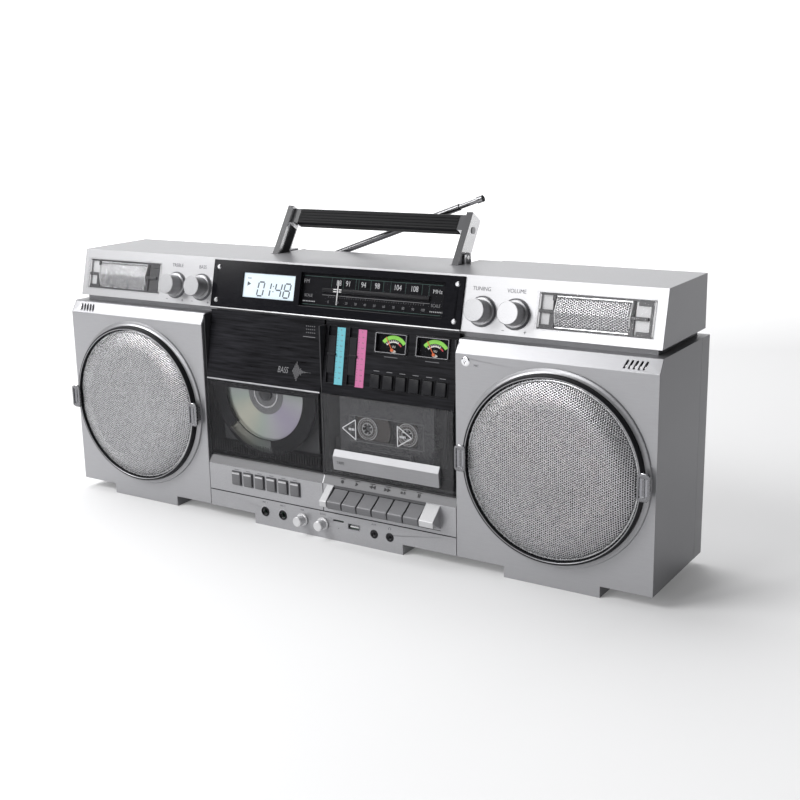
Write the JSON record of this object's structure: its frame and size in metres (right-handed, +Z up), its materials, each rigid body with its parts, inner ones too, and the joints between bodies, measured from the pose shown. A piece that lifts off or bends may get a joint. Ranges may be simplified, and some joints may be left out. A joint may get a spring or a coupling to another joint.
{
  "type": "portable cassette and CD radio",
  "caption": "Portable stereo radio with tape deck, disc player, round loudspeakers at both ends, leaning dial panel and folding carrying handle.",
  "frame": {"origin": "underside of the middle foot, at the centre of the cabinet's footprint", "axes": "+Z up, front face towards -Y, +X to the right of someone facing the front"},
  "size_m": [0.64, 0.1329, 0.3143],
  "materials": {
    "silver_body": "fine metallic silver paint",
    "silver_front": "bright brushed silver",
    "inner_plastic": "black moulded plastic",
    "black_brushed": "black brushed",
    "smoked_window": "smoked clear acrylic",
    "display": "printed scale and pale blue display",
    "needle": "white",
    "meter_needle": "orange",
    "meter_case": "clear-fronted black",
    "trim_metal": "satin silver",
    "grille_metal": "perforated silver",
    "speaker": "black frame and cone",
    "horn": "dark tray with light cheeks",
    "screw": "bright",
    "electronics": "green board",
    "mechanism": "dark grey",
    "disc": "mirror-like, rainbow sheen",
    "cassette": "smoked plastic",
    "reel": "white hub with brown tape",
    "handle_metal": "bright silver",
    "grip": "black ribbed",
    "chrome": "polished",
    "knob": "satin silver",
    "key": "metallic grey",
    "dark_button": "dark grey",
    "black_button": "black",
    "trim_bar": "brushed silver"
  },
  "bodies": {
    "cabinet": {"left_speaker_cabinet": "silver_body", "right_speaker_cabinet": "silver_body", "rear_cover": "silver_body", "top_cabinet": "silver_front", "center_chassis": "inner_plastic", "lower_front_panel": "silver_body", "dial_bezel": "black_brushed", "dial_display": "display", "control_panel": "black_brushed", "vu_meters": "meter_case", "speaker_trim_rings": "trim_metal", "speaker_grilles": "grille_metal", "speaker_drivers": "speaker", "tweeter_horns": "horn", "panel_screws": "screw", "main_circuit_board": "electronics", "cd_mechanism": "mechanism", "tape_mechanism": "mechanism"},
    "record_key": {"record_key": "key"},
    "play_key": {"play_key": "key"},
    "rewind_key": {"rewind_key": "key"},
    "fast_forward_key": {"fast_forward_key": "key"},
    "stop_key": {"stop_key": "key"},
    "pause_key": {"pause_key": "key"},
    "cd_button_1": {"cd_button_1": "dark_button"},
    "cd_button_2": {"cd_button_2": "dark_button"},
    "cd_button_3": {"cd_button_3": "dark_button"},
    "cd_button_4": {"cd_button_4": "dark_button"},
    "cd_button_5": {"cd_button_5": "dark_button"},
    "cd_button_6": {"cd_button_6": "dark_button"},
    "function_button_1": {"function_button_1": "black_button"},
    "function_button_2": {"function_button_2": "black_button"},
    "function_button_3": {"function_button_3": "black_button"},
    "function_button_4": {"function_button_4": "black_button"},
    "function_button_5": {"function_button_5": "black_button"},
    "function_button_6": {"function_button_6": "black_button"},
    "treble_knob": {"treble_knob": "knob"},
    "bass_knob": {"bass_knob": "knob"},
    "volume_knob": {"volume_knob": "knob"},
    "tuning_knob": {"tuning_knob": "knob"},
    "dial_needle": {"dial_needle": "needle"},
    "mic_volume_knob": {"mic_volume_knob": "knob"},
    "echo_knob": {"echo_knob": "knob"},
    "slider_left": {"slider_cap_left": "black_button"},
    "slider_right": {"slider_cap_right": "black_button"},
    "vu_needle_left": {"vu_needle_left": "meter_needle"},
    "vu_needle_right": {"vu_needle_right": "meter_needle"},
    "handle": {"handle_arms": "handle_metal", "handle_grip": "grip"},
    "antenna_knuckle": {"antenna_knuckle": "chrome"},
    "antenna_outer": {"antenna_outer_tube": "chrome"},
    "antenna_inner": {"antenna_inner_tube": "chrome"},
    "cd_door": {"cd_door_panel": "black_brushed", "cd_door_window": "smoked_window"},
    "disc": {"compact_disc": "disc"},
    "tape_door": {"tape_door_window": "smoked_window", "tape_door_trim": "trim_bar", "cassette_shell": "cassette"},
    "cassette_reel_left": {"cassette_reel_left": "reel"},
    "cassette_reel_right": {"cassette_reel_right": "reel"}
  },
  "joints": [
    {"name": "record_key_press", "type": "hinge", "parent": "cabinet", "child": "record_key", "pos_m": [0, -0.0355, 0.046], "axis": [1, 0, 0], "range_deg": [0, 6], "stiffness_Nm_per_rad": 0.5, "springref_deg": -2.86},
    {"name": "play_key_press", "type": "hinge", "parent": "cabinet", "child": "play_key", "pos_m": [0, -0.0355, 0.046], "axis": [1, 0, 0], "range_deg": [0, 6], "stiffness_Nm_per_rad": 0.5, "springref_deg": -2.86},
    {"name": "rewind_key_press", "type": "hinge", "parent": "cabinet", "child": "rewind_key", "pos_m": [0, -0.0355, 0.046], "axis": [1, 0, 0], "range_deg": [0, 6], "stiffness_Nm_per_rad": 0.5, "springref_deg": -2.86},
    {"name": "fast_forward_key_press", "type": "hinge", "parent": "cabinet", "child": "fast_forward_key", "pos_m": [0, -0.0355, 0.046], "axis": [1, 0, 0], "range_deg": [0, 6], "stiffness_Nm_per_rad": 0.5, "springref_deg": -2.86},
    {"name": "stop_key_press", "type": "hinge", "parent": "cabinet", "child": "stop_key", "pos_m": [0, -0.0355, 0.046], "axis": [1, 0, 0], "range_deg": [0, 6], "stiffness_Nm_per_rad": 0.5, "springref_deg": -2.86},
    {"name": "pause_key_press", "type": "hinge", "parent": "cabinet", "child": "pause_key", "pos_m": [0, -0.0355, 0.046], "axis": [1, 0, 0], "range_deg": [0, 6], "stiffness_Nm_per_rad": 0.5, "springref_deg": -2.86},
    {"name": "cd_button_1_press", "type": "slide", "parent": "cabinet", "child": "cd_button_1", "axis": [0, 1, 0], "range_m": [0, 0.0015], "stiffness_N_per_m": 400, "springref_m": -0.001},
    {"name": "cd_button_2_press", "type": "slide", "parent": "cabinet", "child": "cd_button_2", "axis": [0, 1, 0], "range_m": [0, 0.0015], "stiffness_N_per_m": 400, "springref_m": -0.001},
    {"name": "cd_button_3_press", "type": "slide", "parent": "cabinet", "child": "cd_button_3", "axis": [0, 1, 0], "range_m": [0, 0.0015], "stiffness_N_per_m": 400, "springref_m": -0.001},
    {"name": "cd_button_4_press", "type": "slide", "parent": "cabinet", "child": "cd_button_4", "axis": [0, 1, 0], "range_m": [0, 0.0015], "stiffness_N_per_m": 400, "springref_m": -0.001},
    {"name": "cd_button_5_press", "type": "slide", "parent": "cabinet", "child": "cd_button_5", "axis": [0, 1, 0], "range_m": [0, 0.0015], "stiffness_N_per_m": 400, "springref_m": -0.001},
    {"name": "cd_button_6_press", "type": "slide", "parent": "cabinet", "child": "cd_button_6", "axis": [0, 1, 0], "range_m": [0, 0.0015], "stiffness_N_per_m": 400, "springref_m": -0.001},
    {"name": "function_button_1_press", "type": "slide", "parent": "cabinet", "child": "function_button_1", "axis": [0, 0.9839, -0.1788], "range_m": [0, 0.0015], "stiffness_N_per_m": 400, "springref_m": -0.001},
    {"name": "function_button_2_press", "type": "slide", "parent": "cabinet", "child": "function_button_2", "axis": [0, 0.9839, -0.1788], "range_m": [0, 0.0015], "stiffness_N_per_m": 400, "springref_m": -0.001},
    {"name": "function_button_3_press", "type": "slide", "parent": "cabinet", "child": "function_button_3", "axis": [0, 0.9839, -0.1788], "range_m": [0, 0.0015], "stiffness_N_per_m": 400, "springref_m": -0.001},
    {"name": "function_button_4_press", "type": "slide", "parent": "cabinet", "child": "function_button_4", "axis": [0, 0.9839, -0.1788], "range_m": [0, 0.0015], "stiffness_N_per_m": 400, "springref_m": -0.001},
    {"name": "function_button_5_press", "type": "slide", "parent": "cabinet", "child": "function_button_5", "axis": [0, 0.9839, -0.1788], "range_m": [0, 0.0015], "stiffness_N_per_m": 400, "springref_m": -0.001},
    {"name": "function_button_6_press", "type": "slide", "parent": "cabinet", "child": "function_button_6", "axis": [0, 0.9839, -0.1788], "range_m": [0, 0.0015], "stiffness_N_per_m": 400, "springref_m": -0.001},
    {"name": "treble_knob_turn", "type": "hinge", "parent": "cabinet", "child": "treble_knob", "pos_m": [-0.1866, -0.03995, 0.22667], "axis": [0, 0.9703, -0.2419], "range_deg": [-150, 150]},
    {"name": "bass_knob_turn", "type": "hinge", "parent": "cabinet", "child": "bass_knob", "pos_m": [-0.1536, -0.03995, 0.22667], "axis": [0, 0.9703, -0.2419], "range_deg": [-150, 150]},
    {"name": "volume_knob_turn", "type": "hinge", "parent": "cabinet", "child": "volume_knob", "pos_m": [0.1886, -0.03995, 0.22667], "axis": [0, 0.9703, -0.2419], "range_deg": [-150, 150]},
    {"name": "tuning_knob_turn", "type": "hinge", "parent": "cabinet", "child": "tuning_knob", "pos_m": [0.1572, -0.03995, 0.22667], "axis": [0, 0.9703, -0.2419], "range_deg": [-88, 990]},
    {"name": "dial_needle_slide", "type": "slide", "parent": "cabinet", "child": "dial_needle", "axis": [1, 0, 0], "range_m": [-0.0081, 0.0901]},
    {"name": "mic_volume_knob_turn", "type": "hinge", "parent": "cabinet", "child": "mic_volume_knob", "pos_m": [-0.027, -0.0575, 0.0144], "axis": [0, 1, 0], "range_deg": [-150, 150]},
    {"name": "echo_knob_turn", "type": "hinge", "parent": "cabinet", "child": "echo_knob", "pos_m": [-0.003, -0.0575, 0.0144], "axis": [0, 1, 0], "range_deg": [-150, 150]},
    {"name": "slider_left_travel", "type": "slide", "parent": "cabinet", "child": "slider_left", "axis": [0, 0.1788, 0.9839], "range_m": [-0.008, 0.008]},
    {"name": "slider_right_travel", "type": "slide", "parent": "cabinet", "child": "slider_right", "axis": [0, 0.1788, 0.9839], "range_m": [-0.008, 0.008]},
    {"name": "vu_needle_left_swing", "type": "hinge", "parent": "cabinet", "child": "vu_needle_left", "pos_m": [0.0707, -0.04777, 0.18646], "axis": [0, 0.9839, -0.1788], "range_deg": [0, 64], "stiffness_Nm_per_rad": 0.0001, "springref_deg": -5.73},
    {"name": "vu_needle_right_swing", "type": "hinge", "parent": "cabinet", "child": "vu_needle_right", "pos_m": [0.1132, -0.04777, 0.18646], "axis": [0, 0.9839, -0.1788], "range_deg": [0, 64], "stiffness_Nm_per_rad": 0.0001, "springref_deg": -5.73},
    {"name": "handle_fold", "type": "hinge", "parent": "cabinet", "child": "handle", "pos_m": [0, 0.0265, 0.2612], "axis": [1, 0, 0], "range_deg": [0, 108]},
    {"name": "antenna_swivel", "type": "hinge", "parent": "cabinet", "child": "antenna_knuckle", "pos_m": [-0.0824, 0.058, 0.244], "axis": [0, -1, 0], "range_deg": [-19.5, 70]},
    {"name": "antenna_tilt", "type": "hinge", "parent": "antenna_knuckle", "child": "antenna_outer", "pos_m": [-0.0824, 0.058, 0.244], "axis": [-0.3363, 0, 0.9418], "range_deg": [0, 85]},
    {"name": "antenna_extend", "type": "slide", "parent": "antenna_outer", "child": "antenna_inner", "axis": [0.9418, 0, 0.3363], "range_m": [0, 0.15]},
    {"name": "cd_door_open", "type": "hinge", "parent": "cabinet", "child": "cd_door", "pos_m": [0, -0.0515, 0.066], "axis": [1, 0, 0], "range_deg": [0, 35]},
    {"name": "disc_spin", "type": "hinge", "parent": "cabinet", "child": "disc", "pos_m": [-0.077, -0.0425, 0.129], "axis": [0, 1, 0], "continuous": true},
    {"name": "tape_door_open", "type": "hinge", "parent": "cabinet", "child": "tape_door", "pos_m": [0, -0.0515, 0.066], "axis": [1, 0, 0], "range_deg": [0, 30]},
    {"name": "cassette_reel_left_spin", "type": "hinge", "parent": "tape_door", "child": "cassette_reel_left", "pos_m": [0.04235, -0.0435, 0.11], "axis": [0, 1, 0], "continuous": true},
    {"name": "cassette_reel_right_spin", "type": "hinge", "parent": "tape_door", "child": "cassette_reel_right", "pos_m": [0.08485, -0.0435, 0.11], "axis": [0, 1, 0], "continuous": true}
  ],
  "couplings": [
    {"joint": "dial_needle_slide", "follows": "tuning_knob_turn", "m_per_rad": 0.0052},
    {"joint": "cassette_reel_right_spin", "follows": "cassette_reel_left_spin", "ratio": 1.92}
  ]
}
